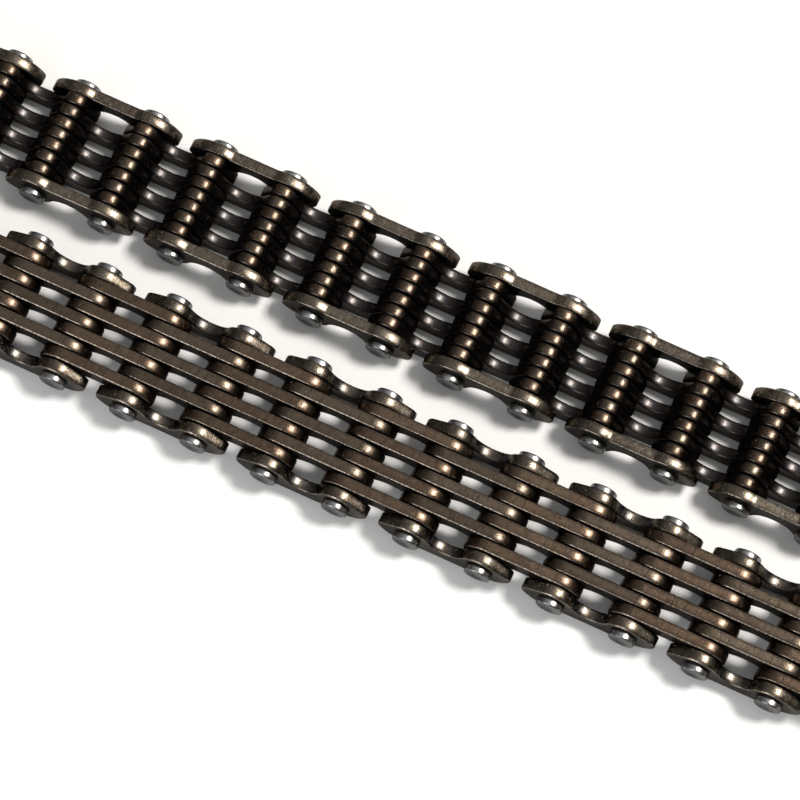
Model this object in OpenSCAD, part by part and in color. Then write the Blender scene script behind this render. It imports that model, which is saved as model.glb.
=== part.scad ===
// Inverted-tooth (silent) chain, shown as two straight runs lying side by side.
// Run 1 rests on the backs of its plates with the teeth up; run 2 is turned over and stands on its teeth.
// Units: millimetres. X runs along the chain, Y along the pins, Z up; the lowest points of both runs are at z = 0.

/* [Chain] */
// distance between neighbouring pins
pitch = 6.35; // [6:0.01:10]
// thickness of one stamped plate
plate_t = 1.0; // [0.8:0.05:1.5]
// sideways gap between neighbouring plates
plate_gap = 0.1; // [0.05:0.01:0.2]
// guide and inner links together in one run
links = 14; // [14]

/* [Rivet pins] */
// radius of the pin shank
pin_r = 1.10; // [0.9:0.01:1.3]
// radius of the headed ends
head_r = 1.16; // [1.0:0.01:1.6]
// length of each head outside the guide plate
head_h = 0.60; // [0.3:0.05:0.9]
// chamfer around the outer edge of a head
head_chamfer = 0.16; // [0.05:0.01:0.3]
// depth of the shallow dimple left by riveting
dimple_d = 0.08; // [0.02:0.01:0.15]
// radius of the dimple
dimple_r = 0.62; // [0.3:0.01:0.8]
// radial running clearance between pin and toothed plates
bore_gap = 0.05; // [0.02:0.01:0.1]

/* [Toothed plates] */
// height of the tooth tips above the pin centres
tooth_h = 2.25; // [2:0.05:3]
// radius of the tooth tips
tip_r = 1.10; // [0.6:0.05:1.4]
// radius of the plate ends, and distance of the flat back from the pin centres
end_r = 1.95; // [1.8:0.05:2.2]
// lowest point of the crotch between the teeth, measured from the pin centres
crotch_z = -0.20; // [-0.6:0.05:0.4]

/* [Guide plates] */
// height of the crest over each pin on the tooth side
guide_h = 2.10; // [1.9:0.05:2.4]
// height of the same edge half way between the pins
guide_mid_h = 1.80; // [1.6:0.05:2.1]
// radius of the crest on its inner side
hump_r = 1.7; // [1.2:0.05:2]
// tilt of the ramp between a crest and the flat, in degrees
ramp = 22; // [18:1:24]
// length of that ramp
ramp_l = 0.3; // [0.2:0.05:0.4]
// radius of the bosses around the pins on the back
boss_r = 1.75; // [1.6:0.05:2]
// height of the waist between the bosses, measured from the pin centres
waist_z = 0.26; // [0:0.02:0.6]
// radius that rounds each end
nose_r = 0.85; // [0.6:0.05:1.1]
// distance from a pin centre to the centre of the rounded end
nose_x = 1.825; // [1.5:0.025:2]

/* [Layout] */
// distance between the centre lines of the two runs
run_spacing = 13.75; // [12:0.05:20]
// how far run 2 is shifted along the chain, in pitches
run_shift = 0.4; // [0:0.05:1]

/* [Hidden] */
$fn = 64;
lay = plate_t + plate_gap;
half = pitch / 2;
stack = 4 * lay + plate_t / 2;
pin_len = 2 * (stack + head_h);
// tooth flanks stand 30 degrees off square to the chain
tip_z = tooth_h - tip_r;
flank_x = tip_r * cos(30);
flank_z = tip_z + tip_r * sin(30);
in_x = half - flank_x;
// circle that touches both inner flanks and bottoms out at crotch_z
crotch_r = 2 * (cos(30) * in_x - sin(30) * (flank_z - crotch_z));
crotch_c = crotch_z + crotch_r;
// straight edges start this far inside the arcs they run into
bite = 0.004;
fx = (tip_r - bite) * cos(30);
fz = tip_z + (tip_r - bite) * sin(30);
tx = (crotch_r - bite) * cos(30);
tz = crotch_c - (crotch_r - bite) * sin(30);
// guide plate: crest circle touches the nose circle from inside
crest_x = half - 0.175;
crest_dx = half + nose_x - crest_x;
crest_r = (crest_dx * crest_dx + guide_h * guide_h - nose_r * nose_r) / (2 * (guide_h - nose_r));
crest_z = guide_h - crest_r;
crest_n = sqrt(crest_dx * crest_dx + crest_z * crest_z);
nose_tx = half + nose_x + nose_r * crest_dx / crest_n;
nose_tz = -nose_r * crest_z / crest_n;
// inner side of a crest: a tighter arc, a short straight ramp and a fillet down to the flat between the pins
hump_z = guide_h - hump_r;
fillet_r = (guide_h - guide_mid_h - hump_r * (1 - cos(ramp)) - ramp_l * sin(ramp)) / (1 - cos(ramp));
flat_x = crest_x - (hump_r + fillet_r) * sin(ramp) - ramp_l * cos(ramp);
hx = crest_x - (hump_r - bite) * sin(ramp);
hz = hump_z + (hump_r - bite) * cos(ramp);
px = flat_x + (fillet_r - bite) * sin(ramp);
pz = guide_mid_h + fillet_r - (fillet_r - bite) * cos(ramp);
// waist circle touches both bosses from outside
waist_r = (half * half + waist_z * waist_z - boss_r * boss_r) / (2 * (boss_r + waist_z));
waist_c = waist_z - waist_r;
waist_n = boss_r + waist_r;
waist_tz = boss_r * waist_c / waist_n;
// straight edge between boss and nose on the back
back_c = (boss_r - nose_r) / nose_x;
back_s = sqrt(1 - back_c * back_c);
// the first link of run 1 has its left pin at -1 pitch, that of run 2 at -1 pitch plus the shift
left_end = -half - (half + nose_x + nose_r);
right_end = (links - 2 + run_shift + 0.5) * pitch + half + end_r;
mid_x = (left_end + right_end) / 2;
mid_y = -run_spacing / 2;
z1 = end_r;
z2 = tooth_h;
c_guide = [0.40, 0.37, 0.33];
c_tooth = [0.34, 0.28, 0.23];
c_inner = [0.42, 0.30, 0.22];
c_pin = [0.72, 0.72, 0.72];

// outline of a toothed plate, pins at x = -half and +half, teeth toward +y
module toothed_outline() {
    difference() {
        union() {
            polygon([[-half - end_r, 0], [-half - fx, fz], [-half + fx, fz], [-tx, tz],
                     [tx, tz], [half - fx, fz], [half + fx, fz], [half + end_r, 0]]);
            translate([-half, -end_r]) square([pitch, end_r + 0.1]);
            for (s = [-1, 1]) {
                translate([s * half, tip_z]) circle(r = tip_r);
                intersection() {
                    translate([s * half, 0]) circle(r = end_r);
                    translate([s * half - end_r, -end_r - 0.5]) square([2 * end_r, end_r + 0.5]);
                }
            }
        }
        translate([0, crotch_c]) circle(r = crotch_r);
        for (s = [-1, 1]) translate([s * half, 0]) circle(r = pin_r + bore_gap);
    }
}

// outline of a guide plate, tooth side toward +y, waisted back toward -y
module guide_outline() {
    difference() {
        union() {
            polygon([[-crest_x, 0], [crest_x, 0], [crest_x, hump_z], [hx, hz], [px, pz], [flat_x, guide_mid_h + bite],
                     [-flat_x, guide_mid_h + bite], [-px, pz], [-hx, hz], [-crest_x, hump_z]]);
            translate([-crest_x, waist_tz]) square([2 * crest_x, -waist_tz]);
            for (s = [-1, 1]) {
                intersection() {
                    translate([s * crest_x, hump_z]) circle(r = hump_r);
                    polygon([[s * crest_x, hump_z], [s * crest_x, guide_h + 1],
                             [s * (crest_x - 2 * hump_r * sin(ramp + 6)), hump_z + 2 * hump_r * cos(ramp + 6)]]);
                }
                intersection() {
                    translate([s * crest_x, crest_z]) circle(r = crest_r);
                    polygon([[s * crest_x, 0], [s * (half + nose_x), 0], [s * nose_tx, nose_tz],
                             [s * (2 * nose_tx - half - nose_x), 2 * nose_tz], [s * (nose_tx + 1.2), guide_h + 1],
                             [s * crest_x, guide_h + 1]]);
                }
                translate([s * (half + nose_x), 0]) circle(r = nose_r);
                translate([s * half, 0]) circle(r = boss_r);
                polygon([[s * half, 0], [s * (half + nose_x), 0],
                         [s * (half + nose_x + (nose_r - bite) * back_c), -(nose_r - bite) * back_s],
                         [s * (half + (boss_r - bite) * back_c), -(boss_r - bite) * back_s]]);
            }
        }
        for (s = [-1, 1]) translate([s * flat_x, guide_mid_h + fillet_r]) circle(r = fillet_r);
        translate([0, waist_c]) circle(r = waist_r);
        for (s = [-1, 1]) translate([s * half, 0]) circle(r = pin_r);
    }
}

// one toothed plate at sideways layer k
module toothed_plate(k) {
    translate([0, k * lay + plate_t / 2, 0]) rotate([90, 0, 0]) linear_extrude(height = plate_t) toothed_outline();
}

// one guide plate at sideways layer k
module guide_plate(k) {
    translate([0, k * lay + plate_t / 2, 0]) rotate([90, 0, 0]) linear_extrude(height = plate_t) guide_outline();
}

// shank with two heads and a riveting dimple in each end
module rivet_pin() {
    rotate([90, 0, 0]) difference() {
        union() {
            cylinder(h = 2 * stack + 0.2, r = pin_r, center = true);
            for (s = [0, 180]) rotate([s, 0, 0]) {
                translate([0, 0, stack]) cylinder(h = head_h - head_chamfer, r = head_r);
                translate([0, 0, stack + head_h - head_chamfer]) cylinder(h = head_chamfer, r1 = head_r, r2 = head_r - head_chamfer);
            }
        }
        for (s = [0, 180]) rotate([s, 0, 0])
            translate([0, 0, pin_len / 2 - dimple_d]) cylinder(h = dimple_d + 0.1, r1 = dimple_r - 0.1, r2 = dimple_r + 0.1);
    }
}

// places a link: run number and position in the run
module at_link(run, i) {
    if (run == 1) translate([(i - 1.5) * pitch - mid_x, -mid_y, z1]) children();
    else translate([(i - 2.5 + 1 + run_shift) * pitch - mid_x, -run_spacing - mid_y, z2]) rotate([180, 0, 0]) children();
}

module guide_plates(run, i) { color(c_guide) at_link(run, i) for (k = [-4, 4]) guide_plate(k); }
module outer_toothed(run, i) { color(c_tooth) at_link(run, i) for (k = [-2, 0, 2]) toothed_plate(k); }
module inner_toothed(run, i) { color(c_inner) at_link(run, i) for (k = [-3, -1, 1, 3]) toothed_plate(k); }
module rivet_pins(run, i) { color(c_pin) at_link(run, i) for (s = [-half, half]) translate([s, 0, 0]) rivet_pin(); }

module run1_link01_guide_plates() { guide_plates(1, 1); }
module run1_link01_toothed_plates() { outer_toothed(1, 1); }
module run1_link01_rivet_pins() { rivet_pins(1, 1); }
module run1_link02_toothed_plates() { inner_toothed(1, 2); }
module run1_link03_guide_plates() { guide_plates(1, 3); }
module run1_link03_toothed_plates() { outer_toothed(1, 3); }
module run1_link03_rivet_pins() { rivet_pins(1, 3); }
module run1_link04_toothed_plates() { inner_toothed(1, 4); }
module run1_link05_guide_plates() { guide_plates(1, 5); }
module run1_link05_toothed_plates() { outer_toothed(1, 5); }
module run1_link05_rivet_pins() { rivet_pins(1, 5); }
module run1_link06_toothed_plates() { inner_toothed(1, 6); }
module run1_link07_guide_plates() { guide_plates(1, 7); }
module run1_link07_toothed_plates() { outer_toothed(1, 7); }
module run1_link07_rivet_pins() { rivet_pins(1, 7); }
module run1_link08_toothed_plates() { inner_toothed(1, 8); }
module run1_link09_guide_plates() { guide_plates(1, 9); }
module run1_link09_toothed_plates() { outer_toothed(1, 9); }
module run1_link09_rivet_pins() { rivet_pins(1, 9); }
module run1_link10_toothed_plates() { inner_toothed(1, 10); }
module run1_link11_guide_plates() { guide_plates(1, 11); }
module run1_link11_toothed_plates() { outer_toothed(1, 11); }
module run1_link11_rivet_pins() { rivet_pins(1, 11); }
module run1_link12_toothed_plates() { inner_toothed(1, 12); }
module run1_link13_guide_plates() { guide_plates(1, 13); }
module run1_link13_toothed_plates() { outer_toothed(1, 13); }
module run1_link13_rivet_pins() { rivet_pins(1, 13); }
module run1_link14_toothed_plates() { inner_toothed(1, 14); }
module run2_link01_guide_plates() { guide_plates(2, 1); }
module run2_link01_toothed_plates() { outer_toothed(2, 1); }
module run2_link01_rivet_pins() { rivet_pins(2, 1); }
module run2_link02_toothed_plates() { inner_toothed(2, 2); }
module run2_link03_guide_plates() { guide_plates(2, 3); }
module run2_link03_toothed_plates() { outer_toothed(2, 3); }
module run2_link03_rivet_pins() { rivet_pins(2, 3); }
module run2_link04_toothed_plates() { inner_toothed(2, 4); }
module run2_link05_guide_plates() { guide_plates(2, 5); }
module run2_link05_toothed_plates() { outer_toothed(2, 5); }
module run2_link05_rivet_pins() { rivet_pins(2, 5); }
module run2_link06_toothed_plates() { inner_toothed(2, 6); }
module run2_link07_guide_plates() { guide_plates(2, 7); }
module run2_link07_toothed_plates() { outer_toothed(2, 7); }
module run2_link07_rivet_pins() { rivet_pins(2, 7); }
module run2_link08_toothed_plates() { inner_toothed(2, 8); }
module run2_link09_guide_plates() { guide_plates(2, 9); }
module run2_link09_toothed_plates() { outer_toothed(2, 9); }
module run2_link09_rivet_pins() { rivet_pins(2, 9); }
module run2_link10_toothed_plates() { inner_toothed(2, 10); }
module run2_link11_guide_plates() { guide_plates(2, 11); }
module run2_link11_toothed_plates() { outer_toothed(2, 11); }
module run2_link11_rivet_pins() { rivet_pins(2, 11); }
module run2_link12_toothed_plates() { inner_toothed(2, 12); }
module run2_link13_guide_plates() { guide_plates(2, 13); }
module run2_link13_toothed_plates() { outer_toothed(2, 13); }
module run2_link13_rivet_pins() { rivet_pins(2, 13); }
module run2_link14_toothed_plates() { inner_toothed(2, 14); }

run1_link01_guide_plates();
run1_link01_toothed_plates();
run1_link01_rivet_pins();
run1_link02_toothed_plates();
run1_link03_guide_plates();
run1_link03_toothed_plates();
run1_link03_rivet_pins();
run1_link04_toothed_plates();
run1_link05_guide_plates();
run1_link05_toothed_plates();
run1_link05_rivet_pins();
run1_link06_toothed_plates();
run1_link07_guide_plates();
run1_link07_toothed_plates();
run1_link07_rivet_pins();
run1_link08_toothed_plates();
run1_link09_guide_plates();
run1_link09_toothed_plates();
run1_link09_rivet_pins();
run1_link10_toothed_plates();
run1_link11_guide_plates();
run1_link11_toothed_plates();
run1_link11_rivet_pins();
run1_link12_toothed_plates();
run1_link13_guide_plates();
run1_link13_toothed_plates();
run1_link13_rivet_pins();
run1_link14_toothed_plates();
run2_link01_guide_plates();
run2_link01_toothed_plates();
run2_link01_rivet_pins();
run2_link02_toothed_plates();
run2_link03_guide_plates();
run2_link03_toothed_plates();
run2_link03_rivet_pins();
run2_link04_toothed_plates();
run2_link05_guide_plates();
run2_link05_toothed_plates();
run2_link05_rivet_pins();
run2_link06_toothed_plates();
run2_link07_guide_plates();
run2_link07_toothed_plates();
run2_link07_rivet_pins();
run2_link08_toothed_plates();
run2_link09_guide_plates();
run2_link09_toothed_plates();
run2_link09_rivet_pins();
run2_link10_toothed_plates();
run2_link11_guide_plates();
run2_link11_toothed_plates();
run2_link11_rivet_pins();
run2_link12_toothed_plates();
run2_link13_guide_plates();
run2_link13_toothed_plates();
run2_link13_rivet_pins();
run2_link14_toothed_plates();
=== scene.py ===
import math

import bpy
import numpy as np
from mathutils import Matrix, Vector
from mathutils.geometry import tessellate_polygon


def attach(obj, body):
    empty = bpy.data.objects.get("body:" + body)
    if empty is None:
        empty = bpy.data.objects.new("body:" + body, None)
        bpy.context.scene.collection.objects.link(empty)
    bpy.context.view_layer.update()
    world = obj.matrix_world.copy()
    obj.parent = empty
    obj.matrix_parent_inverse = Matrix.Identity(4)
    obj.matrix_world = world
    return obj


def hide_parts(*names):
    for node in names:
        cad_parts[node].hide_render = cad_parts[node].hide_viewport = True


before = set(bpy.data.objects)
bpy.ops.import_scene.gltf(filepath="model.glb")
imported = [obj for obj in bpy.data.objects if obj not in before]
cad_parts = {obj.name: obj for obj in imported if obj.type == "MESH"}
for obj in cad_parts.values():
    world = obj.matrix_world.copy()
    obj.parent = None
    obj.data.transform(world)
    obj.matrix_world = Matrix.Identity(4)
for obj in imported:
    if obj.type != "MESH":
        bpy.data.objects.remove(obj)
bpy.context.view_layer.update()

RNG = np.random.default_rng(4127)

# ---------------------------------------------------------------- sizes, in millimetres, as in the CAD source
PITCH = 6.35
HALF = PITCH / 2
PLATE_T, GAP = 1.0, 0.1
LAY = PLATE_T + GAP
PIN_R, HEAD_R, HEAD_H = 1.10, 1.16, 0.60
BORE_R = PIN_R + 0.05
TOOTH_H, TIP_R, END_R, CROTCH_Z = 2.25, 1.10, 1.95, -0.20
GUIDE_H, GUIDE_MID, BOSS_R, WAIST_Z, NOSE_R, NOSE_X = 2.10, 1.80, 1.75, 0.26, 0.85, 1.825
STACK = 4 * LAY + PLATE_T / 2
SPACING, SHIFT, LINKS = 13.75, 0.4, 14
Z1, Z2 = END_R, TOOTH_H
_left = -HALF - (HALF + NOSE_X + NOSE_R)
_right = (LINKS - 2 + SHIFT + 0.5) * PITCH + HALF + END_R
MID_X, MID_Y = (_left + _right) / 2, -SPACING / 2
MM = 0.001


def arc(cx, cy, r, a0, a1, step=7.0):
    n = max(2, int(round(abs(a1 - a0) / step)) + 1)
    a = np.radians(np.linspace(a0, a1, n))
    return np.stack([cx + r * np.cos(a), cy + r * np.sin(a)], 1)


def line(p, q, ts=(0.03, 0.25, 0.5, 0.75, 0.97)):
    p, q = np.array(p, float), np.array(q, float)
    return np.array([p + (q - p) * t for t in ts])


def closed(half_pts):
    """Right half from the mid-back point to the mid-tooth-side point, mirrored into a full loop, anticlockwise."""
    h = np.array(half_pts)
    m = h[1:-1][::-1] * [-1, 1]
    loop = np.concatenate([h, m])
    keep = np.linalg.norm(loop - np.roll(loop, 1, 0), axis=1) > 1e-4
    return loop[keep]


def toothed_loop():
    tip_z = TOOTH_H - TIP_R
    fx, fz = TIP_R * math.cos(math.radians(30)), tip_z + TIP_R * 0.5
    in_x = HALF - fx
    cr = 2 * (math.cos(math.radians(30)) * in_x - 0.5 * (fz - CROTCH_Z))
    cc = CROTCH_Z + cr
    tx, tz = cr * math.cos(math.radians(30)), cc - cr * 0.5
    h = [
        np.array([[0, -END_R]]),
        line((0, -END_R), (HALF, -END_R), (0.25, 0.5, 0.75, 0.95)),
        arc(HALF, 0, END_R, 270, 356, 7),
        line((HALF + END_R, 0), (HALF + fx, fz), (0.03, 0.1, 0.3, 0.55, 0.8, 0.96)),
        arc(HALF, tip_z, TIP_R, 31, 150, 6),
        line((in_x, fz), (tx, tz), (0.15, 0.5, 0.85)),
        arc(0, cc, cr, -30, -90, 5),
    ]
    return closed(np.concatenate(h))


def guide_loop():
    cx = HALF - 0.175
    dx = HALF + NOSE_X - cx
    r = (dx * dx + GUIDE_H ** 2 - NOSE_R ** 2) / (2 * (GUIDE_H - NOSE_R))
    cz = GUIDE_H - r
    hump, ramp, ramp_l = 1.7, 22.0, 0.3
    c, s = math.cos(math.radians(ramp)), math.sin(math.radians(ramp))
    fil = (GUIDE_H - GUIDE_MID - hump * (1 - c) - ramp_l * s) / (1 - c)
    fx = cx - (hump + fil) * s - ramp_l * c
    wr = (HALF ** 2 + WAIST_Z ** 2 - BOSS_R ** 2) / (2 * (BOSS_R + WAIST_Z))
    wc = WAIST_Z - wr
    wa = math.degrees(math.atan2(-wc, HALF))          # from the waist centre up to the right boss
    ba = math.degrees(math.acos((BOSS_R - NOSE_R) / NOSE_X))
    na = math.degrees(math.atan2(-cz, dx))            # from crest centre to nose centre
    bs, bc = math.sin(math.radians(ba)), math.cos(math.radians(ba))
    h = [
        arc(0, wc, wr, 90, wa, 6),
        arc(HALF, 0, BOSS_R, wa + 180 + 4, 360 - ba, 7),
        line((HALF + BOSS_R * bc, -BOSS_R * bs), (HALF + NOSE_X + NOSE_R * bc, -NOSE_R * bs), (0.2, 0.5, 0.8)),
        arc(HALF + NOSE_X, 0, NOSE_R, -ba, na, 7),
        arc(cx, cz, r, na + 3, 90, 4),
        arc(cx, GUIDE_H - hump, hump, 94, 90 + ramp, 4),
        arc(fx, GUIDE_MID + fil, fil, ramp - 90, -90, 4),
        line((fx, GUIDE_MID), (0, GUIDE_MID), (0.05, 0.35, 0.7)),
        np.array([[0, GUIDE_MID]]),
    ]
    return closed(np.concatenate(h))


def loop_normals(p):
    d = np.roll(p, -1, 0) - p
    n = np.stack([d[:, 1], -d[:, 0]], 1)
    n /= np.linalg.norm(n, axis=1)[:, None]
    v = n + np.roll(n, 1, 0)
    return v / np.linalg.norm(v, axis=1)[:, None]


def plate(loop, hole_r, roll, burr, hole_seg=28):
    """One stamped plate: die roll on the +y face, a smaller break on the -y face, slightly crowned sheared band.
    Returns vertices (x, y, z) in mm, normals, faces and the outline length at each vertex."""
    n2 = loop_normals(loop)
    n = len(loop)
    seg = np.linalg.norm(np.roll(loop, -1, 0) - loop, axis=1)
    run = np.concatenate([[0], np.cumsum(seg)[:-1]])
    t = PLATE_T / 2
    rings = []                                       # (inset, y, normal tilt from the outline normal towards +-y)
    for a in (90, 68, 46, 26, 12):
        s = math.radians(a)
        rings.append((roll * (1 - math.cos(s)), t - roll * (1 - math.sin(s)), s))
    rings.append((0.0, 0.12, math.radians(1.3)))
    rings.append((0.0, -0.16, math.radians(-1.3)))
    for a in (12, 36, 62, 90):
        s = math.radians(a)
        rings.append((burr * (1 - math.cos(s)), -t + burr * (1 - math.sin(s)), -s))
    vs, ns, us = [], [], []
    for inset, y, tilt in rings:
        p = loop - n2 * inset
        vs.append(np.stack([p[:, 0], np.full(n, y), p[:, 1]], 1))
        ns.append(np.stack([n2[:, 0] * math.cos(tilt), np.full(n, math.sin(tilt)), n2[:, 1] * math.cos(tilt)], 1))
        us.append(run)
    faces = []
    idx = np.arange(n)
    nxt = np.roll(idx, -1)
    for k in range(len(rings) - 1):
        a, b = k * n, (k + 1) * n
        faces += [(a + i, a + j, b + j, b + i) for i, j in zip(idx, nxt)]
    base = len(rings) * n
    hr = [(0.05, t, 90), (0.015, t - 0.015, 45), (0.0, t - 0.05, 0), (0.0, -t + 0.05, 0), (0.015, -t + 0.015, -45), (0.05, -t, -90)]
    ang = np.linspace(0, 2 * math.pi, hole_seg, endpoint=False)
    holes = []
    for s in (-1, 1):
        first = base
        for out, y, tilt in hr:
            c = np.stack([np.cos(ang), np.sin(ang)], 1)
            p = np.array([s * HALF, 0]) + c * (hole_r + out)
            q = math.radians(tilt)
            vs.append(np.stack([p[:, 0], np.full(hole_seg, y), p[:, 1]], 1))
            ns.append(np.stack([-c[:, 0] * math.cos(q), np.full(hole_seg, math.sin(q)), -c[:, 1] * math.cos(q)], 1))
            us.append(ang * hole_r)
        h = np.arange(hole_seg)
        hn = np.roll(h, -1)
        for k in range(len(hr) - 1):
            a, b = first + k * hole_seg, first + (k + 1) * hole_seg
            faces += [(a + j, a + i, b + i, b + j) for i, j in zip(h, hn)]
        holes.append((first, first + (len(hr) - 1) * hole_seg))
        base += len(hr) * hole_seg
    v, m, u = np.concatenate(vs), np.concatenate(ns), np.concatenate(us)
    for side, start in ((1, 0), (-1, (len(rings) - 1) * n)):
        loops = [list(range(start, start + n))]
        for top, bottom in holes:
            o = top if side == 1 else bottom
            loops.append(list(range(o, o + hole_seg)))
        flat = [i for l in loops for i in l]
        tris = tessellate_polygon([[Vector((v[i][0], v[i][2], 0)) for i in l] for l in loops])
        for tri in tris:
            a, b, c = (flat[i] for i in tri)
            cr = np.cross(v[b] - v[a], v[c] - v[a])
            if abs(cr[1]) < 1e-12:
                continue
            faces.append((a, b, c) if cr[1] * side > 0 else (a, c, b))
    # ring quads: make the winding agree with the normals
    out = []
    for f in faces:
        a, b, c = f[0], f[1], f[2]
        cr = np.cross(v[b] - v[a], v[c] - v[a])
        out.append(f if cr @ (m[a] + m[b] + m[c]) > 0 else tuple(reversed(f)))
    return v, m, out, u


def pin(rng):
    """Shank with two riveted heads: rounded rim, shallow turned dimple and faint tool rings."""
    top = STACK + HEAD_H
    prof = [(0.0, top - 0.040, 90), (0.22, top - 0.039, 88), (0.42, top - 0.034, 85), (0.52, top - 0.020, 78),
            (0.58, top - 0.007, 80), (0.66, top - 0.001, 88), (0.82, top, 90), (0.98, top - 0.001, 88),
            (1.055, top - 0.012, 66), (1.105, top - 0.042, 42), (1.140, top - 0.092, 20), (1.156, top - 0.16, 5),
            (1.16, top - 0.24, 0), (1.16, STACK + 0.14, 0), (1.16, STACK + 0.02, -2), (1.10, STACK, -20), (1.10, STACK - 0.1, 0), (1.10, 0.0, 0)]
    seg = 44
    ang = np.linspace(0, 2 * math.pi, seg, endpoint=False)
    wob = sum(0.004 * math.pow(0.7, k) * np.sin((k + 2) * ang + rng.uniform(0, 6.28)) for k in range(4)) - 0.010
    short = rng.uniform(0.0, 0.03, 2)
    vs, ns, rs, axs = [], [], [], []
    rows = []
    for side in (1, -1):
        pr = prof if side == 1 else prof[:-1]
        cut = short[0 if side == 1 else 1]
        part = []
        for r, y, tilt in pr:
            yy = y - (cut if y > STACK + 0.2 else 0.0)
            k = max(0.0, min(1.0, (r - 0.6) / 0.4)) if y > STACK + 0.01 else 0.0
            rr = r + wob * k if r > 0 else np.full(seg, 0.0)
            rr = np.minimum(rr, HEAD_R) if r > 1.0 else rr
            q = math.radians(tilt)
            part.append((np.stack([rr * np.cos(ang), np.full(seg, yy * side), rr * np.sin(ang)], 1),
                         np.stack([np.cos(ang) * math.cos(q), np.full(seg, math.sin(q) * side), np.sin(ang) * math.cos(q)], 1),
                         np.full(seg, r), np.full(seg, yy * side)))
        rows += part if side == 1 else part[::-1]
    v = np.concatenate([p[0] for p in rows])
    m = np.concatenate([p[1] for p in rows])
    r = np.concatenate([p[2] for p in rows])
    ax = np.concatenate([p[3] for p in rows])
    faces = []
    i = np.arange(seg)
    j = np.roll(i, -1)
    # the first and last rows are single centre points
    first, last = 0, (len(rows) - 1) * seg
    for k in range(len(rows) - 1):
        a, b = k * seg, (k + 1) * seg
        for p, q in zip(i, j):
            if k == 0:
                faces.append((first, b + q, b + p))
            elif k == len(rows) - 2:
                faces.append((a + p, a + q, last))
            else:
                faces.append((a + p, a + q, b + q, b + p))
    used = sorted({x for f in faces for x in f})
    remap = {o: n for n, o in enumerate(used)}
    v, m, r, ax = v[used], m[used], r[used], ax[used]
    a = np.resize(ang, len(rows) * seg)[used]
    faces = [tuple(remap[x] for x in f) for f in faces]
    out = []
    for f in faces:
        cr = np.cross(v[f[1]] - v[f[0]], v[f[2]] - v[f[0]])
        out.append(f if cr @ sum(m[x] for x in f) > 0 else tuple(reversed(f)))
    return v, m, out, r, ax, a


GUIDE = plate(guide_loop(), PIN_R, 0.20, 0.10)
TOOTHED = plate(toothed_loop(), BORE_R, 0.20, 0.12)


def place(v, run, i):
    if run == 1:
        return v + np.array([(i - 1.5) * PITCH - MID_X, -MID_Y, Z1])
    return v * np.array([1, -1, -1]) + np.array([(i - 1.5 + SHIFT) * PITCH - MID_X, -SPACING - MID_Y, Z2])


def turn(m, run):
    return m if run == 1 else m * np.array([1, -1, -1])


def make(name, parts, node, body, material):
    """Joins several solids into one piece, with their own coordinates kept as attributes."""
    vs, ns, fs, at = [], [], [], {}
    base = 0
    for v, m, f, attrs in parts:
        vs.append(v)
        ns.append(m)
        fs += [tuple(base + x for x in face) for face in f]
        for k, a in attrs.items():
            at.setdefault(k, []).append(np.broadcast_to(a, (len(v),)))
        base += len(v)
    v, m = np.concatenate(vs) * MM, np.concatenate(ns)
    mesh = bpy.data.meshes.new(name)
    mesh.from_pydata([tuple(p) for p in v], [], fs)
    mesh.polygons.foreach_set("use_smooth", np.ones(len(mesh.polygons), bool))
    for k, a in at.items():
        d = mesh.attributes.new(k, "FLOAT", "POINT")
        d.data.foreach_set("value", np.concatenate(a).astype(np.float32))
    mesh.materials.append(material)
    mesh.validate()
    mesh.update()
    mesh.normals_split_custom_set_from_vertices([tuple(x) for x in m])
    o = bpy.data.objects.new(name, mesh)
    bpy.context.scene.collection.objects.link(o)
    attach(o, body)
    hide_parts(node)
    return o


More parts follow.
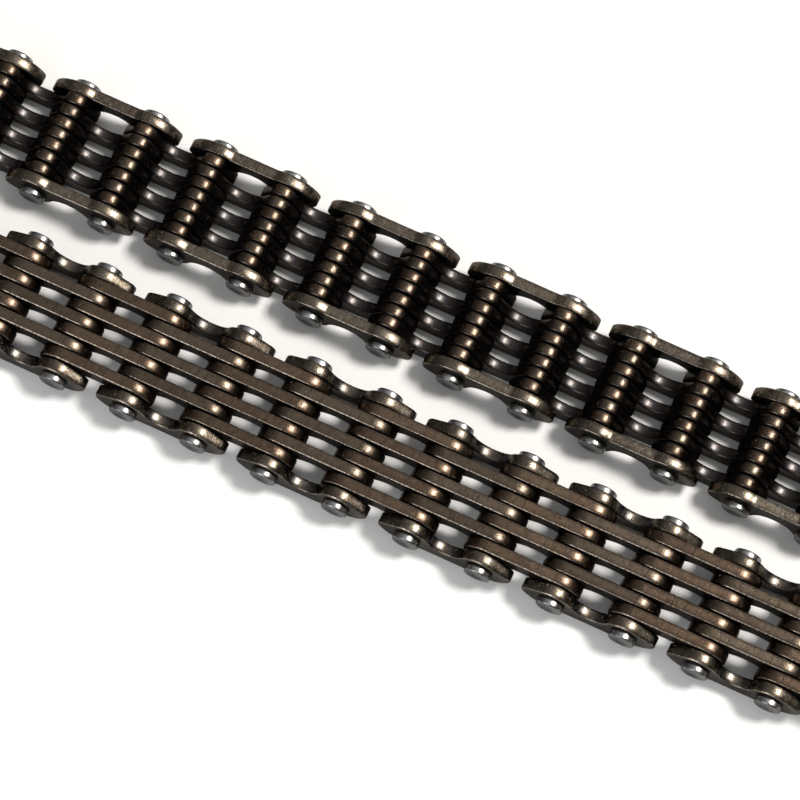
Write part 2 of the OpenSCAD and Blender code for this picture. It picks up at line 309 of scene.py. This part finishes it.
# ---------------------------------------------------------------- materials
class Tree:
    def __init__(self, name):
        self.mat = bpy.data.materials.new(name)
        self.mat.use_nodes = True
        self.t = self.mat.node_tree
        self.t.nodes.clear()
        self.out = self.n("ShaderNodeOutputMaterial")
        self.bsdf = self.n("ShaderNodeBsdfPrincipled")
        self.t.links.new(self.bsdf.outputs[0], self.out.inputs[0])

    def n(self, kind, **kw):
        x = self.t.nodes.new(kind)
        for k, v in kw.items():
            setattr(x, k, v)
        return x

    def put(self, socket, value):
        if isinstance(value, bpy.types.NodeSocket):
            self.t.links.new(value, socket)
        elif value is not None:
            socket.default_value = value

    def attr(self, name):
        x = self.n("ShaderNodeAttribute", attribute_type="GEOMETRY", attribute_name=name)
        return x.outputs["Fac"]

    def math(self, op, a, b=None, c=None, clamp=False):
        x = self.n("ShaderNodeMath", operation=op, use_clamp=clamp)
        for s, v in zip(x.inputs, (a, b, c)):
            self.put(s, v)
        return x.outputs[0]

    def vec(self, x, y, z):
        c = self.n("ShaderNodeCombineXYZ")
        for s, v in zip(c.inputs, (x, y, z)):
            self.put(s, v)
        return c.outputs[0]

    def noise(self, vector, scale, detail=3.0, rough=0.55, distortion=0.0):
        x = self.n("ShaderNodeTexNoise", noise_dimensions="3D")
        self.put(x.inputs["Vector"], vector)
        x.inputs["Scale"].default_value = scale
        x.inputs["Detail"].default_value = detail
        x.inputs["Roughness"].default_value = rough
        x.inputs["Distortion"].default_value = distortion
        return x.outputs["Fac"]

    def ramp(self, fac, stops):
        x = self.n("ShaderNodeValToRGB")
        e = x.color_ramp.elements
        while len(e) < len(stops):
            e.new(0.5)
        for k, (p, c) in enumerate(stops):
            e[k].position = p
            e[k].color = (c, c, c, 1) if isinstance(c, (int, float)) else (*c, 1)
        self.put(x.inputs[0], fac)
        return x.outputs[0]

    def map(self, value, a, b, c, d, smooth=True):
        x = self.n("ShaderNodeMapRange", interpolation_type="SMOOTHSTEP" if smooth else "LINEAR")
        for s, v in zip(x.inputs, (value, a, b, c, d)):
            self.put(s, v)
        return x.outputs[0]

    def mix(self, fac, a, b, mode="MIX"):
        x = self.n("ShaderNodeMix", data_type="RGBA", blend_type=mode)
        self.put(x.inputs[0], fac)
        self.put(x.inputs[6], (*a, 1) if isinstance(a, tuple) else a)
        self.put(x.inputs[7], (*b, 1) if isinstance(b, tuple) else b)
        return x.outputs[2]

    def bump(self, height, strength, distance, normal=None):
        x = self.n("ShaderNodeBump")
        x.inputs["Strength"].default_value = strength
        x.inputs["Distance"].default_value = distance
        self.put(x.inputs["Height"], height)
        self.put(x.inputs["Normal"], normal)
        return x.outputs[0]


def plate_steel(name, band_a, band_b, band_c, face_a, face_b, grey_tip=0.0, rough=0.30, keep=0.12, flank_shade_amount=0.93):
    """Oil-blackened stamped steel: near-black rolled faces, brown sheared edge bands with lines across the thickness,
    brighter rubbed corners, oil specks, and painted shade on the band edges beside the gaps between plates, in the
    crotch and on the tooth flanks."""
    T = Tree(name)
    lx, ly, lz, rnd, rnd2 = (T.attr(k) for k in ("lx", "ly", "lz", "rnd", "rnd2"))
    off = T.math("MULTIPLY", rnd, 61.7)
    face_v = T.vec(T.math("ADD", lx, off), T.math("MULTIPLY", ly, 1.0), lz)
    shear_v = T.vec(T.math("ADD", lx, off), T.math("ADD", T.math("MULTIPLY", ly, 0.10), T.math("MULTIPLY", rnd2, 9.0)), lz)
    geo = T.n("ShaderNodeNewGeometry")
    sep = T.n("ShaderNodeSeparateXYZ")
    T.put(sep.inputs[0], geo.outputs["Normal"])
    ny = T.math("ABSOLUTE", sep.outputs[1])
    is_face = T.map(ny, 0.80, 0.985, 0.0, 1.0)
    corner = T.math("MULTIPLY", T.map(ny, 0.25, 0.62, 0.0, 1.0), T.map(ny, 0.80, 0.98, 1.0, 0.0))
    # sheared band colours
    slow = T.noise(face_v, 0.55, 3.0, 0.6)
    mid = T.noise(face_v, 2.6, 4.0, 0.6)
    lines = T.noise(shear_v, 5.5, 5.0, 0.72)
    fine = T.noise(shear_v, 24.0, 3.0, 0.7)
    tone = T.map(T.math("ADD", T.math("MULTIPLY", slow, 0.75), T.math("MULTIPLY", rnd2, 0.45)), 0.35, 0.85, 0.0, 1.0)
    band = T.mix(tone, band_a, band_b)
    band = T.mix(T.map(mid, 0.52, 0.72, 0.0, 0.55), band, band_c)
    band = T.mix(T.map(lines, 0.30, 0.50, 0.55, 0.0), band, (0.020, 0.014, 0.010))
    band = T.mix(T.map(fine, 0.60, 0.78, 0.0, 0.30), band, (0.26, 0.21, 0.16))
    # painted shade: the band is darkened to near-black from about lz -0.9 to 0.45, over the crotch, the guide waist
    # and the plate ends at pin height; guide plates also get grey patches
    low = T.map(lz, 0.45, -0.1, 0.0, 1.0)
    low = T.math("MULTIPLY", low, T.map(lz, -0.9, -0.35, 0.0, 1.0))
    band = T.mix(T.math("MULTIPLY", low, 0.92), band, (0.034, 0.034, 0.036))
    if grey_tip:
        band = T.mix(T.math("MULTIPLY", T.map(mid, 0.35, 0.65, 0.0, 1.0), grey_tip), band, (0.15, 0.14, 0.125))
    back = T.map(lz, -1.2, -1.7, 0.0, 1.0)             # the flat back rubs bright along its corners; on the tooth side the band edges get painted shade instead
    wear = T.map(T.noise(face_v, 4.2, 4.0, 0.6), 0.38, 0.62, 0.10, 1.0)
    # painted shade: the tooth flanks, between lz of about -0.55 and 2.0, are darkened to near-black
    flank_shade = T.math("MULTIPLY", T.math("MULTIPLY", T.map(lz, 2.02, 1.78, 0.0, 1.0), T.map(lz, -0.55, -0.1, 0.0, 1.0)), flank_shade_amount)
    band = T.mix(flank_shade, band, (0.026, 0.023, 0.022))
    worn = T.math("MULTIPLY", corner, T.math("MULTIPLY", wear, T.math("ADD", T.math("MULTIPLY", back, 0.85), keep)))
    # painted shade mask: the rounded band edges beside the gaps between plates, less on the worn back
    edge_gap_shade = T.math("MULTIPLY", T.map(ny, 0.06, 0.40, 0.0, 1.0), T.math("SUBTRACT", 1.0, T.math("ADD", T.math("MULTIPLY", back, 0.8), keep), clamp=True))
    # rolled faces
    face = T.mix(T.map(slow, 0.35, 0.68, 0.0, 1.0), face_a, face_b)
    face = T.mix(T.map(T.noise(T.vec(T.math("ADD", lx, off), ly, T.math("MULTIPLY", lz, 7.0)), 1.7, 4.0, 0.65), 0.50, 0.70, 0.0, 0.5), face, (0.050, 0.044, 0.038))
    ring = T.n("ShaderNodeVectorMath", operation="DISTANCE")
    T.put(ring.inputs[0], T.vec(T.math("ABSOLUTE", lx), 0.0, lz))
    ring.inputs[1].default_value = (HALF, 0.0, 0.0)
    rub = T.math("MULTIPLY", T.map(ring.outputs["Value"], 1.30, 1.62, 1.0, 0.0), T.map(mid, 0.30, 0.62, 0.25, 1.0))
    face = T.mix(T.math("MULTIPLY", rub, 0.5), face, (0.075, 0.070, 0.064))
    # painted shade along the band edges by the gaps between plates
    band = T.mix(T.math("MULTIPLY", edge_gap_shade, 0.80), band, (0.020, 0.017, 0.016))
    colour = T.mix(is_face, band, face)
    colour = T.mix(T.math("MULTIPLY", worn, 0.60), colour, (0.24, 0.21, 0.175))
    # oil specks
    speck = T.map(T.noise(face_v, 7.5, 2.0, 0.5), 0.645, 0.70, 0.0, 1.0)
    colour = T.mix(T.math("MULTIPLY", speck, 0.8), colour, (0.012, 0.010, 0.009))
    T.put(T.bsdf.inputs["Base Color"], colour)
    T.bsdf.inputs["Metallic"].default_value = 1.0
    r = T.math("ADD", T.math("MULTIPLY", lines, 0.22), T.math("ADD", T.math("MULTIPLY", mid, 0.14), rough - 0.18))
    r = T.math("ADD", r, T.math("MULTIPLY", is_face, 0.10))
    r = T.math("SUBTRACT", r, T.math("MULTIPLY", worn, 0.08), clamp=True)
    T.put(T.bsdf.inputs["Roughness"], r)
    T.bsdf.inputs["Specular Tint"].default_value = (0.50, 0.48, 0.46, 1.0)
    T.bsdf.inputs["Coat Weight"].default_value = 0.15
    T.bsdf.inputs["Coat Roughness"].default_value = 0.16
    T.bsdf.inputs["Coat IOR"].default_value = 1.47
    not_face = T.math("SUBTRACT", 1.0, is_face)
    h1 = T.math("MULTIPLY", T.math("ADD", T.math("MULTIPLY", lines, 0.7), T.math("MULTIPLY", fine, 0.3)), not_face)
    nb = T.bump(h1, 0.55, 0.00003)
    nb = T.bump(T.math("ADD", T.math("MULTIPLY", mid, 0.6), T.math("MULTIPLY", T.noise(face_v, 14.0, 3.0, 0.6), 0.4)), 0.35, 0.00002, nb)
    drops = T.map(T.noise(face_v, 5.2, 1.0, 0.4), 0.66, 0.74, 0.0, 1.0)
    nb = T.bump(drops, 0.8, 0.00005, nb)
    T.put(T.bsdf.inputs["Normal"], nb)
    return T.mat


def pin_steel(name):
    """Bright turned steel: concentric tool rings on the ends, a rubbed side, grime in the dimple, darker where the
    head meets the plate, and painted shade on the head rims.
    """
    T = Tree(name)
    rad, ax, ang, rnd = (T.attr(k) for k in ("rad", "ax", "ang", "rnd"))
    off = T.math("MULTIPLY", rnd, 43.0)
    px = T.math("MULTIPLY", rad, T.math("COSINE", ang))
    pz = T.math("MULTIPLY", rad, T.math("SINE", ang))
    v = T.vec(T.math("ADD", px, off), ax, pz)
    rings = T.noise(T.vec(T.math("ADD", rad, off), 0.0, 0.0), 16.0, 3.0, 0.6)
    turned = T.noise(T.vec(off, T.math("MULTIPLY", ax, 1.0), 0.0), 14.0, 3.0, 0.6)
    blot = T.noise(v, 1.3, 4.0, 0.6)
    small = T.noise(v, 6.0, 4.0, 0.6)
    geo = T.n("ShaderNodeNewGeometry")
    sep = T.n("ShaderNodeSeparateXYZ")
    T.put(sep.inputs[0], geo.outputs["Normal"])
    end = T.map(T.math("ABSOLUTE", sep.outputs[1]), 0.55, 0.9, 0.0, 1.0)
    colour = T.mix(T.map(blot, 0.35, 0.68, 0.0, 1.0), (0.27, 0.27, 0.275), (0.18, 0.177, 0.173))
    colour = T.mix(T.math("MULTIPLY", T.map(rings, 0.42, 0.58, 1.0, 0.0), T.math("MULTIPLY", end, 0.45)), colour, (0.11, 0.107, 0.104))
    colour = T.mix(T.map(small, 0.58, 0.74, 0.0, 0.5), colour, (0.20, 0.175, 0.15))
    colour = T.mix(T.math("MULTIPLY", end, 0.72), colour, T.mix(T.map(small, 0.40, 0.62, 0.0, 1.0), (0.060, 0.060, 0.062), (0.125, 0.124, 0.122)))
    # painted shade: the rounded rim of each head is darkened to near-black in patches
    rim = T.math("MULTIPLY", T.map(T.math("ABSOLUTE", sep.outputs[1]), 0.10, 0.35, 0.0, 1.0), T.map(T.math("ABSOLUTE", sep.outputs[1]), 0.72, 0.95, 1.0, 0.0))
    colour = T.mix(T.math("MULTIPLY", rim, T.map(blot, 0.40, 0.60, 0.75, 0.15)), colour, (0.030, 0.028, 0.026))
    # darker on the side of each head next to the plate
    root = T.map(T.math("ABSOLUTE", ax), STACK + 0.18, STACK + 0.02, 0.0, 0.85)
    colour = T.mix(root, colour, (0.045, 0.038, 0.032))
    edge = T.math("MULTIPLY", T.map(rad, 0.52, 0.60, 0.0, 1.0), T.map(rad, 0.64, 0.72, 1.0, 0.0))
    colour = T.mix(T.math("MULTIPLY", edge, T.math("MULTIPLY", end, 0.5)), colour, (0.10, 0.09, 0.08))
    T.put(T.bsdf.inputs["Base Color"], colour)
    T.bsdf.inputs["Metallic"].default_value = 1.0
    r = T.math("ADD", T.math("MULTIPLY", small, 0.25), T.math("ADD", T.math("MULTIPLY", rings, 0.12), 0.10))
    T.put(T.bsdf.inputs["Roughness"], r)
    T.bsdf.inputs["Specular Tint"].default_value = (0.52, 0.52, 0.52, 1.0)
    T.bsdf.inputs["Coat Weight"].default_value = 0.12
    T.bsdf.inputs["Coat Roughness"].default_value = 0.12
    h = T.math("ADD", T.math("MULTIPLY", T.math("MULTIPLY", rings, end), 0.6),
               T.math("MULTIPLY", T.math("MULTIPLY", turned, T.math("SUBTRACT", 1.0, end)), 0.6))
    nb = T.bump(h, 0.6, 0.00003)
    nb = T.bump(small, 0.25, 0.00002, nb)
    T.put(T.bsdf.inputs["Normal"], nb)
    return T.mat


M_GUIDE = plate_steel("guide_plate_steel", (0.092, 0.073, 0.052), (0.064, 0.049, 0.035), (0.125, 0.103, 0.078),
                      (0.018, 0.017, 0.0165), (0.046, 0.043, 0.039), grey_tip=0.30, rough=0.28, keep=0.55, flank_shade_amount=0.0)
M_OUTER = plate_steel("guide_link_tooth_steel", (0.076, 0.058, 0.042), (0.052, 0.038, 0.027), (0.105, 0.082, 0.061),
                      (0.021, 0.020, 0.020), (0.040, 0.037, 0.035), rough=0.30)
M_INNER = plate_steel("inner_link_tooth_steel", (0.088, 0.061, 0.042), (0.060, 0.040, 0.027), (0.125, 0.088, 0.063),
                      (0.021, 0.020, 0.020), (0.041, 0.037, 0.034), rough=0.30)
M_PIN = pin_steel("pin_steel")

# ---------------------------------------------------------------- pieces
def plates(template, run, i, layers, jitter):
    v0, m0, f0, u0 = template
    parts = []
    for k in layers:
        dy = RNG.uniform(-jitter, jitter)
        if abs(k) == 4:
            dy = -abs(dy) * (1 if k > 0 else -1)
        flip = 1 if RNG.random() < 0.7 else -1        # which way round the stamping lies
        if abs(k) == 4:
            flip = 1 if k > 0 else -1                 # guide plates wear their rounded side outwards
        s = np.array([flip, flip, 1.0])               # half a turn about the tooth direction
        v = v0 * s
        m = m0 * s
        w = v + np.array([0, k * LAY + dy, 0])
        parts.append((place(w, run, i), turn(m, run), f0,
                      {"lx": v[:, 0], "ly": v[:, 1], "lz": v[:, 2], "rnd": RNG.random(), "rnd2": RNG.random()}))
    return parts


for run in (1, 2):
    for i in range(1, LINKS + 1):
        body = f"run{run}_link{i:02d}"
        if i % 2:
            make(body + "_guide_pair", plates(GUIDE, run, i, (-4, 4), 0.02), body + "_guide_plates", body, M_GUIDE)
            make(body + "_tooth_set", plates(TOOTHED, run, i, (-2, 0, 2), 0.03), body + "_toothed_plates", body, M_OUTER)
            parts = []
            for s in (-HALF, HALF):
                v, m, f, r, ax, a = pin(RNG)
                parts.append((place(v + np.array([s, 0, 0]), run, i), turn(m, run), f, {"rad": r, "ax": ax, "ang": a, "rnd": RNG.random()}))
            make(body + "_pin_pair", parts, body + "_rivet_pins", body, M_PIN)
        else:
            make(body + "_tooth_set", plates(TOOTHED, run, i, (-3, -1, 1, 3), 0.03), body + "_toothed_plates", body, M_INNER)

# ---------------------------------------------------------------- floor, light, camera
F = Tree("pale_floor")
tc = F.n("ShaderNodeTexCoord")
pale = F.mix(F.map(F.noise(tc.outputs["Object"], 30.0, 3.0, 0.5), 0.3, 0.7, 0.0, 1.0), (0.62, 0.62, 0.62), (0.65, 0.65, 0.646))
F.put(F.bsdf.inputs["Base Color"], pale)
F.bsdf.inputs["Roughness"].default_value = 0.75
F.bsdf.inputs["Specular IOR Level"].default_value = 0.2
bm = bpy.data.meshes.new("floor")
S = 3.0
bm.from_pydata([(-S, -S, -0.00015), (S, -S, -0.00015), (S, S, -0.00015), (-S, S, -0.00015)], [], [(0, 1, 2, 3)])
bm.materials.append(F.mat)
floor = bpy.data.objects.new("floor", bm)
bpy.context.scene.collection.objects.link(floor)

world = bpy.data.worlds.new("studio")
bpy.context.scene.world = world
world.use_nodes = True
wt = world.node_tree
wt.nodes.clear()
wo = wt.nodes.new("ShaderNodeOutputWorld")
bg = wt.nodes.new("ShaderNodeBackground")
wt.links.new(bg.outputs[0], wo.inputs[0])
wc = wt.nodes.new("ShaderNodeTexCoord")
ws = wt.nodes.new("ShaderNodeSeparateXYZ")
wt.links.new(wc.outputs["Generated"], ws.inputs[0])
side = wt.nodes.new("ShaderNodeMapRange")
side.inputs[1].default_value, side.inputs[2].default_value = -1.0, 1.0
wt.links.new(ws.outputs[0], side.inputs[0])
wr = wt.nodes.new("ShaderNodeValToRGB")
for k, (p, c) in enumerate(((0.0, 0.16), (0.20, 0.42), (0.42, 0.86), (0.66, 0.92), (0.80, 0.14), (1.0, 0.06))):
    e = wr.color_ramp.elements[k] if k < 2 else wr.color_ramp.elements.new(p)
    e.position = p
    e.color = (c, c * 0.992, c * 0.98, 1)
wt.links.new(side.outputs[0], wr.inputs[0])
low = wt.nodes.new("ShaderNodeMapRange")
low.interpolation_type = "SMOOTHSTEP"
wt.links.new(ws.outputs[2], low.inputs[0])
low.inputs[1].default_value, low.inputs[2].default_value = 0.0, 0.75
low.inputs[3].default_value, low.inputs[4].default_value = 0.45, 1.0
wt.links.new(low.outputs[0], bg.inputs["Strength"])
wt.links.new(wr.outputs[0], bg.inputs["Color"])


def area(name, direction, distance, size, watts, colour=(1, 1, 1), size_y=None):
    d = Vector(direction).normalized()
    la = bpy.data.lights.new(name, "AREA")
    la.energy = watts
    la.color = colour
    la.size = size
    if size_y:
        la.shape = "RECTANGLE"
        la.size_y = size_y
    o = bpy.data.objects.new(name, la)
    o.rotation_mode = "QUATERNION"
    o.location = d * distance
    o.rotation_quaternion = d.to_track_quat("Z", "Y")
    bpy.context.scene.collection.objects.link(o)
    return o


area("key", (0.455, 0.269, 0.849), 0.60, 0.14, 5.2, (1.0, 0.965, 0.91))
area("fill", (-0.30, -0.84, 0.45), 0.9, 0.55, 5.5, (0.97, 0.985, 1.0))

cam_data = bpy.data.cameras.new("camera")
cam = bpy.data.objects.new("camera", cam_data)
bpy.context.scene.collection.objects.link(cam)
right, up, fwd = Vector((0.9041, 0.4271, -0.0094)), Vector((-0.4047, 0.8633, 0.3015)), Vector((-0.1369, 0.2688, -0.9534))
back = (-fwd).normalized()
right = (right - back * right.dot(back)).normalized()
up = back.cross(right)
m = Matrix((right, up, back)).transposed().to_4x4()
m.translation = Vector((0.048945, -0.092715, 0.325597))
cam.matrix_world = m
cam_data.sensor_width = 36.0
cam_data.lens = 188.05
cam_data.clip_start, cam_data.clip_end = 0.01, 20.0
bpy.context.scene.camera = cam
bpy.context.scene.view_settings.view_transform = "Standard"
bpy.context.scene.view_settings.look = "None"
